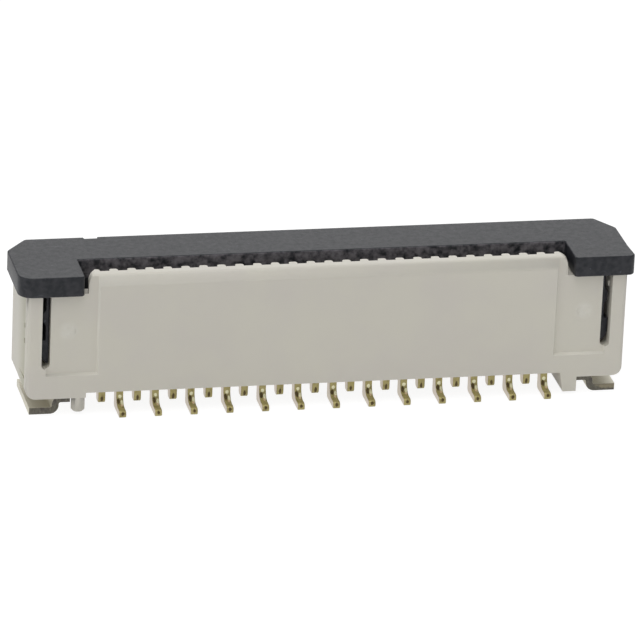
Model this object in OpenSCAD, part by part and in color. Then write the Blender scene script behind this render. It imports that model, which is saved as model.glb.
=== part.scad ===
// Vertical surface-mount connector for a flat flexible cable.
// The cable drops into the housing from above, and a slide-lock bar pushed down beside it
// presses it onto a row of fork contacts.
// X runs along the row, -Y is the front, Z is up from the board, in millimetres.

/* [Contact row] */
// Number of contacts
contact_count = 26; // [6:1:40]
// Distance between neighbouring contacts
pitch = 0.5; // [0.5:0.05:1]
// Thickness of the contact sheet
contact_t = 0.2; // [0.15:0.01:0.24]
// Thickness of a solder tail's foot
foot_t = 0.15; // [0.1:0.01:0.18]
// How far the tails reach past the housing at the front and rear
tail_reach = 0.3; // [0.1:0.01:0.6]
// Radius of the inside curve between a tail's leg and its foot
tail_curve = 0.26; // [0.1:0.01:0.3]
// Depth of a tail's leg, front to rear
leg_depth = 0.34; // [0.2:0.01:0.5]
// Depth of the front arm at its root
front_root = 0.25; // [0.18:0.01:0.3]
// Depth of the front arm beside its contact point
front_tip = 0.13; // [0.08:0.01:0.13]
// Depth of the rear arm at its root
rear_root = 0.24; // [0.15:0.01:0.3]
// Depth of the rear arm at its tip
rear_tip = 0.14; // [0.08:0.01:0.2]
// Radius of the rounded contact point
touch_r = 0.12; // [0.08:0.01:0.14]

/* [Cable space] */
// Thickness of the cable that the contacts grip
cable_t = 0.3; // [0.2:0.01:0.36]
// Width of the slot that the cable drops into, front to rear
cable_gap = 0.66; // [0.42:0.01:0.7]
// Cavity length past the last contact's centre, at each end
cavity_margin = 0.53; // [0.4:0.01:1]
// Thickness of the front wall
front_wall = 0.5; // [0.4:0.01:0.6]
// Thickness of the rear wall behind its grooves
rear_wall = 0.36; // [0.25:0.01:0.4]
// Depth of the grooves in the front wall
groove_depth = 0.14; // [0.1:0.01:0.2]
// Radius that rounds the ridges between the grooves
ridge_r = 0.07; // [0.02:0.01:0.07]
// Thickness of the cavity floor
floor_t = 0.6; // [0.4:0.01:0.8]

/* [Housing] */
// Depth of the housing, front to rear
housing_depth = 2.5; // [2.4:0.05:3]
// Height of the front wall's top above the board
wall_z = 4.11; // [3.9:0.01:5.5]
// How far the ledges under the slide-lock bar lie below the front wall's top
ledge_drop = 0.56; // [0.3:0.01:0.7]
// Length of the solid block between the cavity and each end slot
end_block = 0.97; // [0.9:0.01:1.4]
// Width of each end slot
slot_w = 0.25; // [0.2:0.01:0.4]
// Height of the end slots' round bottom above the board
slot_z = 1.4; // [1.2:0.01:1.6]
// Width of each end post
post_w = 0.43; // [0.3:0.01:0.8]
// Depth of the recessed panels at both ends of the front
recess_depth = 0.1; // [0.03:0.01:0.15]
// Height of the band below the recessed panels
band_z = 1.19; // [1.1:0.01:1.3]
// Radius along the front wall's top edge
wall_round = 0.18; // [0.05:0.01:0.3]
// Radius of the lower outer corners
corner_round = 0.3; // [0.1:0.01:0.4]
// Radius of the upright outer corners
post_round = 0.14; // [0.05:0.01:0.2]
// Width of the locating pegs
peg_w = 0.38; // [0.3:0.01:0.45]
// Height of the pegs' ends above the board
peg_z = 0.1; // [0:0.01:0.2]
// Length of the rib-shaped peg, front to rear
rib_len = 1.5; // [0.4:0.05:1.8]

/* [Slide-lock bar] */
// Thickness of the bar's plate
plate_t = 0.58; // [0.4:0.01:1]
// How far the plate overhangs the housing at each end
end_overhang = 0.25; // [0.1:0.01:0.4]
// How far the plate overhangs the housing at the front
front_overhang = 0.13; // [0.05:0.01:0.3]
// How far the plate overhangs the housing at the rear
rear_overhang = 0.3; // [0.1:0.01:0.4]
// Thickness of the tongue that presses the cable
tongue_t = 0.46; // [0.3:0.01:0.52]
// How far the tongue hangs below the contact points
tongue_drop = 1.0; // [0.6:0.05:1.2]
// Length of the corner cuts at the rear, along the row
corner_cut_x = 0.62; // [0.3:0.01:0.8]
// Depth of the corner cuts at the rear
corner_cut_y = 0.8; // [0.4:0.01:0.9]
// Radius of the front corners
front_round = 0.42; // [0.1:0.01:0.5]
// Depth of the latch legs, front to rear
latch_depth = 2; // [1:0.05:2.3]
// How far the bar lifts before its latch hooks stop it
lift = 0.9; // [0.5:0.05:1.1]

/* [Solder tabs] */
// Thickness of the tab sheet
tab_t = 0.2; // [0.15:0.01:0.25]
// Inner radius of the tab's bends
tab_bend = 0.05; // [0.03:0.01:0.1]
// Depth of the tab's foot, front to rear
tab_depth = 2.1; // [1.2:0.02:2.3]
// Depth of the tab's blade in the housing, front to rear
blade_depth = 1.3; // [0.8:0.02:1.4]
// Height of the blade above the housing's end faces
blade_h = 2.1; // [1.2:0.05:2.5]

/* [Hidden] */
$fn = 48;

// Clearances
press_gap = 0.01;
slide_gap = 0.02;
over = 0.5;

// Along the row
row_half = (contact_count - 1) * pitch / 2;
cavity_half = row_half + cavity_margin;
wall_half = cavity_half - 0.02;
panel_half = row_half + 0.16;
slot_in = cavity_half + end_block;
slot_out = slot_in + slot_w;
housing_half = slot_out + post_w;
slider_half = housing_half + end_overhang;
ear_in = wall_half + 0.11;
tongue_half = cavity_half - 0.06;
peg_x = cavity_half + 0.15;

// Front to rear
slit_wall = 0.25;
front_y = -housing_depth / 2;
rear_y = housing_depth / 2;
cavity_y = front_y + front_wall;
groove_y = cavity_y - groove_depth;
tongue_y = cavity_y + cable_gap;
tongue_back = tongue_y + tongue_t;
comb_y = tongue_back + slide_gap;
rear_groove_y = rear_y - rear_wall;
base_front = front_y + slit_wall;
base_back = rear_y - slit_wall;
arm_front = groove_y + slide_gap;
touch_y = tongue_y - cable_t;
rear_arm_y = comb_y + 0.03;
slider_front = front_y - front_overhang;
slider_back = rear_y + rear_overhang;
foot_tip = housing_depth / 2 + tail_reach;

// Up from the board
end_z = 2 * (tab_t + tab_bend) + 0.03;
underside_z = end_z + 0.14;
floor_z = underside_z + floor_t;
base_z = 0.4;
stub_z = 0.23;
base_top = floor_z - 0.2;
ledge_z = wall_z - ledge_drop;
touch_z = wall_z - 1.34;
front_top = wall_z - 0.64;
rear_top = ledge_z - 0.5;
plate_z = ledge_z + slide_gap;
plate_top = plate_z + plate_t;
tongue_z = touch_z - tongue_drop;

// Slot, ridge and latch details
slit_w = contact_t + 2 * press_gap;
groove_w = contact_t + 0.07;
slope = 0.05;
leg_in = slot_in + slide_gap;
leg_out = slot_out - 0.12;
catch_in = slot_out - 0.04;
catch_z = ledge_z - 0.46;
hook_z = catch_z - lift - slide_gap;
bump_z = catch_z - 0.4;
leg_z = slot_z + 0.1;
mark_r = 0.2;
mark_x = slot_in - 0.5;
mark_z = touch_z - 0.29;
notch_w = 0.44;
mark_depth = 0.02;
wall_corner = 0.25;
edge_r = 0.06;
chamfer = 0.1;
catch_h = 0.17;
notch_x = -row_half + notch_w / 2;
notch_depth = 0.13;
base_corner = 0.12;
arm_fillet = 0.1;
barb = 0.06;
barb_drop = 0.6;

// Solder tab, counted outwards from the cable cavity
blade_in = peg_x + peg_w / 2 + slide_gap;
blade_out = blade_in + tab_t;
upper_bend_x = blade_out + 2 * slide_gap + tab_bend;
lower_bend_x = upper_bend_x + 2 * tab_bend + tab_t;
tab_end = housing_half - 0.15;

function contact_name(i) = str("contact_", i < 9 ? "0" : "", i + 1);

// Extrudes a front-view outline, drawn in X and Z, from front to rear
module from_front(y0, y1) {
    translate([0, y1, 0]) rotate([90, 0, 0]) linear_extrude(y1 - y0) children();
}

// Extrudes a side-view outline, drawn in Y and Z, along the row
module from_side(x0, x1) {
    translate([x0, 0, 0]) rotate([90, 0, 90]) linear_extrude(x1 - x0) children();
}

// The sliver that rounds an outline's corner at the origin; the outline lies towards +x and +y
module corner_sliver(r) {
    difference() {
        translate([-over, -over]) square(r + over);
        translate([r, r]) circle(r);
        translate([r, -over]) square([over, over + r]);
        translate([-over, r]) square([over + r, over]);
    }
}

// The filling of an inside corner at the origin, with its material towards +x and +y
module cove(r) {
    difference() {
        square(r);
        translate([r, r]) circle(r);
    }
}

// A quarter of a bent sheet's edge, about the origin, in the quadrant of the given signs
module bend(r, t, sx, sy) {
    intersection() {
        difference() {
            circle(r + t);
            circle(r);
        }
        scale([sx, sy]) square(r + t);
    }
}

// ---- Housing ----

module front_outline() {
    difference() {
        union() {
            translate([-housing_half, end_z]) square([2 * housing_half, ledge_z - end_z]);
            translate([-wall_half, end_z]) square([2 * wall_half, wall_z - end_z]);
        }
        belly_half = peg_x - peg_w / 2;
        translate([-belly_half, 0]) square([2 * belly_half, underside_z]);
        for (s = [0, 1]) mirror([s, 0]) {
            translate([housing_half, end_z]) mirror([1, 0]) corner_sliver(corner_round);
            translate([wall_half, wall_z]) rotate(180) corner_sliver(wall_round);
        }
    }
}

module side_outline() {
    difference() {
        union() {
            translate([front_y, 0]) square([housing_depth, ledge_z]);
            translate([front_y, 0]) square([front_wall, wall_z]);
        }
        translate([front_y, wall_z]) mirror([0, 1]) corner_sliver(wall_round);
        translate([rear_y, ledge_z]) rotate(180) corner_sliver(edge_r);
    }
}

// Housing seen from above, with its upright outer corners rounded
module plan_outline() {
    difference() {
        translate([-housing_half, front_y]) square([2 * housing_half, housing_depth]);
        for (s = [0, 1]) mirror([s, 0]) {
            translate([housing_half, front_y]) mirror([1, 0]) corner_sliver(post_round);
            translate([housing_half, rear_y]) rotate(180) corner_sliver(post_round);
        }
    }
}

// Cable space seen from above, with a round-mouthed groove for each contact's front arm
module cavity_plan() {
    translate([-cavity_half, cavity_y]) square([2 * cavity_half, comb_y - cavity_y]);
    for (i = [0 : contact_count - 1]) translate([i * pitch - row_half, cavity_y]) {
        translate([-groove_w / 2, -groove_depth]) square([groove_w, 2 * groove_depth]);
        for (s = [0, 1]) mirror([s, 0])
            translate([groove_w / 2, 0]) mirror([0, 1]) cove(ridge_r);
    }
}

// Slit that a contact is pressed up into, and the rear arm's groove above it
module contact_slit(i) {
    x = i * pitch - row_half;
    from_side(x - slit_w / 2, x + slit_w / 2) {
        translate([base_front, 0]) square([base_back - base_front, floor_z + press_gap]);
        translate([comb_y - press_gap, base_top])
            square([rear_groove_y - comb_y + press_gap, rear_top + chamfer - base_top]);
    }
}

// Recessed panel at the right-hand end of the front, with sloping sides
module end_recess() {
    intersection() {
        translate([0, 0, band_z]) linear_extrude(wall_z) polygon([
            [panel_half, front_y],
            [panel_half + slope, front_y + recess_depth],
            [slot_in + slot_w / 2, front_y + recess_depth],
            [slot_in + slot_w / 2, front_y - over],
            [panel_half, front_y - over],
        ]);
        from_side(panel_half, slot_out) polygon([
            [front_y, band_z],
            [front_y + recess_depth, band_z + slope],
            [front_y + recess_depth, wall_z + over],
            [front_y - over, wall_z + over],
            [front_y - over, band_z],
        ]);
    }
}

// Slot that keeps the right-hand latch leg, open at the top, the front and the rear
module end_slot() {
    from_front(front_y - over, rear_y + over) {
        translate([slot_in, slot_z + slot_w / 2]) square([slot_w, wall_z]);
        translate([slot_in + slot_w / 2, slot_z + slot_w / 2]) circle(slot_w / 2);
        translate([slot_in + slot_w / 2, ledge_z]) rotate(45)
            square(slot_w / 2 + 2 * slope, center = true);
    }
}

// Ridge on the right-hand post that holds the latch hook down or stops it on the way up
module catch() {
    catch_half = latch_depth / 2 - chamfer;
    from_front(-catch_half, catch_half) polygon([
        [catch_in, catch_z],
        [slot_out + chamfer, catch_z],
        [slot_out + chamfer, catch_z + catch_h],
        [slot_out, catch_z + catch_h],
        [catch_in, catch_z + catch_h - (slot_out - catch_in)],
    ]);
}

module round_peg() {
    translate([-peg_x, front_y + peg_w / 2, 0]) rotate_extrude() polygon([
        [0, peg_z],
        [peg_w / 2 - slope, peg_z],
        [peg_w / 2, peg_z + slope],
        [peg_w / 2, underside_z],
        [0, underside_z],
    ]);
}

module rib_peg() {
    from_front(front_y, front_y + rib_len) polygon([
        [peg_x - peg_w / 2, peg_z],
        [peg_x + peg_w / 2, peg_z],
        [peg_x + peg_w / 2, underside_z],
        [peg_x - peg_w / 2 - chamfer, underside_z],
    ]);
}

module housing() {
    color("#d6d1c1") {
        difference() {
            union() {
                intersection() {
                    from_front(front_y, rear_y) front_outline();
                    from_side(-housing_half, housing_half) side_outline();
                    linear_extrude(wall_z) plan_outline();
                }
                round_peg();
                rib_peg();
            }
            translate([0, 0, floor_z]) linear_extrude(wall_z) cavity_plan();
            for (i = [0 : contact_count - 1]) contact_slit(i);
            for (s = [0, 1]) mirror([s, 0, 0]) {
                end_recess();
                end_slot();
                blade_slot();
                wall_end_cut();
                translate([mark_x, front_y + recess_depth + mark_depth, mark_z])
                    rotate([90, 0, 0]) cylinder(h = over, r = mark_r);
            }
        }
        for (s = [0, 1]) mirror([s, 0, 0]) catch();
    }
}

// Slot that the right-hand solder tab's blade is pressed up into
module blade_slot() {
    half = blade_depth / 2 + press_gap;
    translate([blade_in - press_gap, -half, 0])
        cube([tab_t + 2 * press_gap, 2 * half, end_z + blade_h + press_gap]);
}

// Slanting cut across the inner corner of the front wall's right-hand end
module wall_end_cut() {
    translate([0, 0, ledge_z]) linear_extrude(wall_z) polygon([
        [wall_half - wall_corner, cavity_y + press_gap],
        [wall_half + press_gap, cavity_y - wall_corner],
        [wall_half + press_gap, cavity_y + press_gap],
    ]);
}

// ---- Slide-lock bar ----

module slider_plan() {
    difference() {
        translate([-slider_half, slider_front])
            square([2 * slider_half, slider_back - slider_front]);
        translate([-ear_in, slider_front - over])
            square([2 * ear_in, tongue_y - slider_front + over]);
        for (s = [0, 1]) mirror([s, 0]) {
            polygon([
                [slider_half - corner_cut_x, slider_back],
                [slider_half - chamfer, slider_back - corner_cut_y + 3 * chamfer],
                [slider_half, slider_back - corner_cut_y],
                [slider_half + over, slider_back - corner_cut_y],
                [slider_half + over, slider_back + over],
                [slider_half - corner_cut_x, slider_back + over],
            ]);
            translate([slider_half, slider_front]) mirror([1, 0]) corner_sliver(front_round);
        }
        polygon([
            [notch_x, slider_back + press_gap],
            [notch_x - slope, slider_back - notch_depth],
            [notch_x - notch_w + slope, slider_back - notch_depth],
            [notch_x - notch_w, slider_back + press_gap],
        ]);
    }
}

// Plate seen from the side, with its upper edges rounded
module plate_section(y0, y1) {
    difference() {
        translate([y0, plate_z]) square([y1 - y0, plate_t]);
        translate([y0, plate_top]) mirror([0, 1]) corner_sliver(edge_r);
        translate([y1, plate_top]) rotate(180) corner_sliver(edge_r);
    }
}

// Tongue seen from the side: thin at its tip, full beside the contact points
module tongue_section() {
    tip_y = tongue_back - tongue_t / 2;
    polygon([
        [tongue_y, plate_z + chamfer],
        [tongue_y, touch_z - 2 * chamfer],
        [tip_y - slope, tongue_z + 2 * chamfer],
        [tip_y, tongue_z],
        [tongue_back - slope, tongue_z],
        [tongue_back, tongue_z + chamfer],
        [tongue_back, plate_z + chamfer],
    ]);
}

// Right-hand latch leg seen from the front, with its snap bump above and its stop hook below
module latch_section() {
    bump_out = catch_in - slide_gap;
    hook_out = slot_out - slide_gap;
    polygon([
        [leg_in, plate_z + chamfer],
        [leg_in, leg_z],
        [leg_in + slope, leg_z],
        [hook_out - slide_gap, leg_z + 1.5 * chamfer],
        [hook_out, leg_z + 3 * chamfer],
        [hook_out, hook_z],
        [leg_out, hook_z],
        [leg_out, bump_z - slope],
        [bump_out, bump_z],
        [bump_out, catch_z - chamfer],
        [leg_out, catch_z - slide_gap],
        [leg_out, plate_z + chamfer],
    ]);
}

module slider() {
    color("#3d3f42") {
        intersection() {
            translate([0, 0, plate_z]) linear_extrude(plate_t) slider_plan();
            union() {
                for (s = [0, 1]) mirror([s, 0, 0])
                    from_side(ear_in, slider_half) plate_section(slider_front, slider_back);
                from_side(-ear_in, ear_in) plate_section(tongue_y, slider_back);
            }
            from_front(slider_front, slider_back) plate_section(-slider_half, slider_half);
        }
        from_side(-tongue_half, tongue_half) tongue_section();
        for (s = [0, 1]) mirror([s, 0, 0])
            from_front(-latch_depth / 2, latch_depth / 2) latch_section();
    }
}

// ---- Contacts ----

// One solder tail at the front end of the base bar
module tail_section() {
    difference() {
        union() {
            translate([-foot_tip, 0]) square([foot_tip + base_front + leg_depth, foot_t]);
            translate([base_front, 0]) square([leg_depth, base_top - chamfer]);
            translate([base_front, foot_t]) mirror([1, 0]) cove(tail_curve);
        }
        translate([-foot_tip, 0]) corner_sliver(foot_t / 4);
        translate([-foot_tip, foot_t]) mirror([0, 1]) corner_sliver(foot_t / 3);
        translate([base_front + leg_depth, 0]) mirror([1, 0]) corner_sliver(base_corner);
    }
}

// Fork seen from the side: base bar, springy front arm with its contact point, and rear arm
module fork_section() {
    arm_y = touch_y - touch_r;
    translate([base_front, base_z]) square([base_back - base_front, base_top - base_z]);
    polygon([
        [arm_front, base_top - chamfer],
        [arm_front + front_root, base_top - chamfer],
        [arm_y, touch_z],
        [arm_y, front_top - chamfer],
        [arm_y - slope, front_top],
        [arm_y - front_tip, front_top],
        [arm_y - front_tip, touch_z],
    ]);
    translate([arm_y, touch_z]) circle(touch_r);
    polygon([
        [rear_arm_y, base_top - chamfer],
        [rear_arm_y + rear_root, base_top - chamfer],
        [rear_arm_y + rear_tip, rear_top],
        [rear_arm_y + slope, rear_top],
        [rear_arm_y, rear_top - chamfer],
    ]);
    translate([arm_front + front_root, base_top]) cove(arm_fillet);
    translate([rear_arm_y, base_top]) mirror([1, 0]) cove(arm_fillet);
}

// Short rounded stub below the end of the base bar that has no tail
module stub_section() {
    difference() {
        translate([base_back - leg_depth, stub_z]) square([leg_depth, base_top - stub_z - chamfer]);
        translate([base_back - leg_depth, stub_z]) corner_sliver(base_corner);
        translate([base_back, stub_z]) mirror([1, 0]) corner_sliver(base_corner);
    }
}

// Tails lie alternately at the rear and at the front, the first at the rear
module contact(i) {
    x = i * pitch - row_half;
    color("#c9a24a") from_side(x - contact_t / 2, x + contact_t / 2) {
        fork_section();
        mirror([1 - i % 2, 0]) {
            tail_section();
            stub_section();
        }
    }
}

// ---- Solder tabs ----

// Right-hand tab seen from the front, without its blade: foot, S-bend and the turn upwards
module tab_section() {
    upper_bend_z = end_z - tab_t - tab_bend;
    lower_bend_z = tab_t + tab_bend;
    translate([lower_bend_x, 0]) square([tab_end - lower_bend_x, tab_t]);
    translate([lower_bend_x, lower_bend_z]) bend(tab_bend, tab_t, -1, -1);
    translate([lower_bend_x - tab_bend - tab_t, lower_bend_z])
        square([tab_t, upper_bend_z - lower_bend_z]);
    translate([upper_bend_x, upper_bend_z]) bend(tab_bend, tab_t, 1, 1);
    translate([blade_in, end_z - tab_t]) square([upper_bend_x - blade_in, tab_t]);
}

// Blade seen from the side, with a barb on each edge
module blade_section() {
    half = blade_depth / 2;
    barb_z = end_z + blade_h - barb_drop;
    polygon([
        [-half + barb, end_z - press_gap],
        [-half + barb, barb_z],
        [-half, barb_z],
        [-half + barb, barb_z + 4 * barb],
        [-half + barb + chamfer, end_z + blade_h],
        [half - barb - chamfer, end_z + blade_h],
        [half - barb, barb_z + 4 * barb],
        [half, barb_z],
        [half - barb, barb_z],
        [half - barb, end_z - press_gap],
    ]);
}

module solder_tab() {
    color("#b9b8b2") {
        from_front(-tab_depth / 2, tab_depth / 2) tab_section();
        from_side(blade_in, blade_out) blade_section();
    }
}

housing();
slider();
mirror([1, 0, 0]) solder_tab();  // nail_left
solder_tab();  // nail_right
for (i = [0 : contact_count - 1]) contact(i);
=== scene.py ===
"""Looks of a vertical slide-lock connector for a flat flexible cable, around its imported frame.

Every shape is worked out in millimetres and becomes a piece in metres. X runs along the contact
row, -Y is the front and Z is up from the board.
"""

import logging
import math
from dataclasses import dataclass, field
from enum import Enum
from typing import Callable, Optional, Sequence

import bmesh
import bpy
from mathutils import Matrix, Vector


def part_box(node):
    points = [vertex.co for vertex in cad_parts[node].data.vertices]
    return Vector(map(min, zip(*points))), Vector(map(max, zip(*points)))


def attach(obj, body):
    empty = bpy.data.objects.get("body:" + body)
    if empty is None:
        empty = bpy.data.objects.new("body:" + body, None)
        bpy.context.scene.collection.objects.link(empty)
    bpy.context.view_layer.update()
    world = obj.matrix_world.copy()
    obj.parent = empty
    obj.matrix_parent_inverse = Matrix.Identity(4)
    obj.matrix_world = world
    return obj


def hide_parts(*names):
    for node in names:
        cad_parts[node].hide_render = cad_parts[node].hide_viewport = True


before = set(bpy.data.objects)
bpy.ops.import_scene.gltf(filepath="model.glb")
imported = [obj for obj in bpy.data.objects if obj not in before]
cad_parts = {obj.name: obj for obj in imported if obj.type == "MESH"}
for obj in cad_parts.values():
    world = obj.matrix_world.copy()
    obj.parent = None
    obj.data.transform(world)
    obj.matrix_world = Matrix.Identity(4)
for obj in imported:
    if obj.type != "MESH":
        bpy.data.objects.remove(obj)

LOG = logging.getLogger("connector")
MM = 0.001
TOLERANCE = 0.001  # millimetres within which two places count as one
SPARE = 0.1  # millimetres that a cutting tool stands clear, or that a part reaches into another
WHITE = (1.0, 1.0, 1.0, 1.0)

Point = tuple[float, float]
Corner = tuple[float, float, float]
Colour = tuple[float, float, float]
Socket = bpy.types.NodeSocket
Node = bpy.types.Node
Tree = bpy.types.NodeTree
EdgeTest = Callable[[bmesh.types.BMEdge], bool]
PlaceTest = Callable[[Vector], bool]

MARK: Corner = (7.25, -1.13, 2.48)  # middle of the round mark at each end of the front


class Axis(Enum):
    """The direction that an outline is extruded in, with the axes its two numbers lie along."""

    ALONG_ROW = (1, 2, 0)
    FRONT_TO_REAR = (0, 2, 1)
    UPWARDS = (0, 1, 2)


class Body(Enum):
    """The two bodies that pieces ride on."""

    HOUSING = "housing"
    SLIDER = "slider"


# ---------------------------------------------------------------------------------------------
# Shapes
# ---------------------------------------------------------------------------------------------


def node_box(node: str) -> tuple[Vector, Vector]:
    """Lowest and highest corner of a frame node.

    Args:
        node: name of the node.

    Returns:
        The two corners in millimetres.
    """
    low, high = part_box(node)
    return Vector(low) / MM, Vector(high) / MM


def rounded_outline(corners: Sequence[Corner], step: float = math.radians(10)) -> list[Point]:
    """Closed outline with an arc at every corner that has a radius.

    Args:
        corners: each corner's two coordinates and its radius, in order round the outline.
        step: largest turn between two points of an arc.

    Returns:
        The outline's points.
    """
    points: list[Point] = []
    for i, (u, v, radius) in enumerate(corners):
        here = Vector((u, v))
        into = (Vector(corners[i - 1][:2]) - here).normalized()
        away = (Vector(corners[(i + 1) % len(corners)][:2]) - here).normalized()
        half = into.angle(away) / 2
        if radius <= 0 or half > math.radians(89.5):
            points.append((u, v))
            continue
        centre = here + (into + away).normalized() * (radius / math.sin(half))
        start = here + into * (radius / math.tan(half)) - centre
        end = here + away * (radius / math.tan(half)) - centre
        turn = math.atan2(start.x * end.y - start.y * end.x, start.dot(end))
        count = max(1, math.ceil(abs(turn) / step))
        for k in range(count + 1):
            spoke = start.copy()
            spoke.rotate(Matrix.Rotation(turn * k / count, 2))
            points.append((centre.x + spoke.x, centre.y + spoke.y))
    return points


def sheet_outline(path: Sequence[Corner], thickness: float) -> list[Point]:
    """Edge-on outline of a bent sheet.

    Args:
        path: corners of the sheet's middle line, each with the middle line's bend radius.
        thickness: thickness of the sheet.

    Returns:
        The closed outline's points.
    """
    ends = [(path[0][0], path[0][1]), (path[-1][0], path[-1][1])]
    middle = [ends[0], *rounded_outline(path)[1:-1], ends[1]]
    left: list[Point] = []
    right: list[Point] = []
    for i, (u, v) in enumerate(middle):
        before = Vector(middle[max(0, i - 1)])
        after = Vector(middle[min(len(middle) - 1, i + 1)])
        run = (after - before).normalized() * (thickness / 2)
        left.append((u - run.y, v + run.x))
        right.append((u + run.y, v - run.x))
    return left + right[::-1]


class Solid:
    """A closed mesh that is shaped in millimetres before it becomes a piece."""

    def __init__(self, mesh: bmesh.types.BMesh) -> None:
        """Keeps the mesh to work on."""
        self.mesh = mesh

    @classmethod
    def from_outline(cls, outline: Sequence[Point], low: float, high: float, axis: Axis) -> "Solid":
        """Extrudes a closed outline.

        Args:
            outline: the outline's points.
            low: where the extrusion starts along the axis.
            high: where it ends.
            axis: the direction of the extrusion.

        Returns:
            The solid, with its faces pointing outwards.
        """
        mesh = bmesh.new()
        first, second, along = axis.value
        rings = []
        for level in (low, high):
            ring = []
            for u, v in outline:
                place = [0.0, 0.0, 0.0]
                place[first], place[second], place[along] = u, v, level
                ring.append(mesh.verts.new(place))
            rings.append(ring)
            mesh.faces.new(ring)
        for i in range(len(outline)):
            mesh.faces.new((rings[0][i - 1], rings[0][i], rings[1][i], rings[1][i - 1]))
        bmesh.ops.recalc_face_normals(mesh, faces=mesh.faces)
        return cls(mesh)

    @classmethod
    def from_node(cls, node: str) -> "Solid":
        """Takes a merged copy of a frame node, with its flat faces made whole.

        Args:
            node: name of the node.

        Returns:
            The copy, in millimetres.
        """
        mesh = bmesh.new()
        mesh.from_mesh(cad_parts[node].data)
        bmesh.ops.scale(mesh, vec=Vector((1, 1, 1)) / MM, verts=mesh.verts)
        bmesh.ops.remove_doubles(mesh, verts=mesh.verts, dist=TOLERANCE / 2)
        bmesh.ops.dissolve_limit(
            mesh, angle_limit=math.radians(1), verts=mesh.verts, edges=mesh.edges
        )
        return cls(mesh)

    def soften(self, width: float, segments: int, choose: EdgeTest) -> "Solid":
        """Rounds the edges that a test picks.

        Args:
            width: how far the rounding reaches from each edge.
            segments: faces across the rounding.
            choose: picks the edges.

        Returns:
            The same solid.
        """
        edges = [e for e in self.mesh.edges if e.is_manifold and choose(e)]
        bmesh.ops.bevel(
            self.mesh, geom=edges, offset=width, offset_type="OFFSET", segments=segments,
            profile=0.5, affect="EDGES", clamp_overlap=True,
        )
        return self

    def combined(self, other: "Solid", operation: str) -> "Solid":
        """Joins or cuts with another solid.

        Args:
            other: the second solid.
            operation: UNION or DIFFERENCE.

        Returns:
            The result as a new solid.
        """
        base, tool = self._loose("base"), other._loose("tool")
        modifier = base.modifiers.new("combine", "BOOLEAN")
        modifier.object, modifier.operation, modifier.solver = tool, operation, "EXACT"
        graph = bpy.context.evaluated_depsgraph_get()
        mesh = bmesh.new()
        mesh.from_mesh(base.evaluated_get(graph).data)
        bmesh.ops.dissolve_limit(
            mesh, angle_limit=math.radians(0.5), verts=mesh.verts, edges=mesh.edges
        )
        for loose in (base, tool):
            data = loose.data
            bpy.data.objects.remove(loose)
            bpy.data.meshes.remove(data)
        return Solid(mesh)

    def _loose(self, name: str) -> bpy.types.Object:
        """Puts a copy in the scene for a modifier to work on."""
        data = bpy.data.meshes.new(name)
        self.mesh.to_mesh(data)
        loose = bpy.data.objects.new(name, data)
        bpy.context.collection.objects.link(loose)
        return loose

    def piece(
        self, name: str, crease: float = 32.0, hard: Optional[PlaceTest] = None
    ) -> bpy.types.Object:
        """Turns the solid into an object in metres.

        Args:
            name: the object's name.
            crease: turn, in degrees, above which an edge stays sharp in the shading.
            hard: picks, by their two ends in millimetres, more edges that stay sharp.

        Returns:
            The object, at the origin.
        """
        bmesh.ops.scale(self.mesh, vec=Vector((MM, MM, MM)), verts=self.mesh.verts)
        data = bpy.data.meshes.new(name)
        self.mesh.to_mesh(data)
        self.mesh.free()
        data.shade_smooth()
        data.set_sharp_from_angle(angle=math.radians(crease))
        for edge in data.edges:
            if hard and all(hard(data.vertices[end].co / MM) for end in edge.vertices):
                edge.use_edge_sharp = True
        made = bpy.data.objects.new(name, data)
        bpy.context.collection.objects.link(made)
        level = made.modifiers.new("level", "WEIGHTED_NORMAL")
        level.keep_sharp = True
        level.weight = 100
        graph = bpy.context.evaluated_depsgraph_get()
        made.data = bpy.data.meshes.new_from_object(made.evaluated_get(graph))
        made.modifiers.clear()
        bpy.data.meshes.remove(data)
        return made


def rim_edges(axis: Axis) -> EdgeTest:
    """A test for the edges that run round an extrusion's two ends.

    Args:
        axis: the direction of the extrusion.

    Returns:
        The test.
    """
    along = axis.value[2]

    def on_rim(edge: bmesh.types.BMEdge) -> bool:
        """Tells whether just one of the edge's faces is an end of the extrusion."""
        caps = [abs(face.normal[along]) > 0.99 for face in edge.link_faces]
        return caps.count(True) == 1

    return on_rim


# ---------------------------------------------------------------------------------------------
# Shader node groups
# ---------------------------------------------------------------------------------------------


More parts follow.
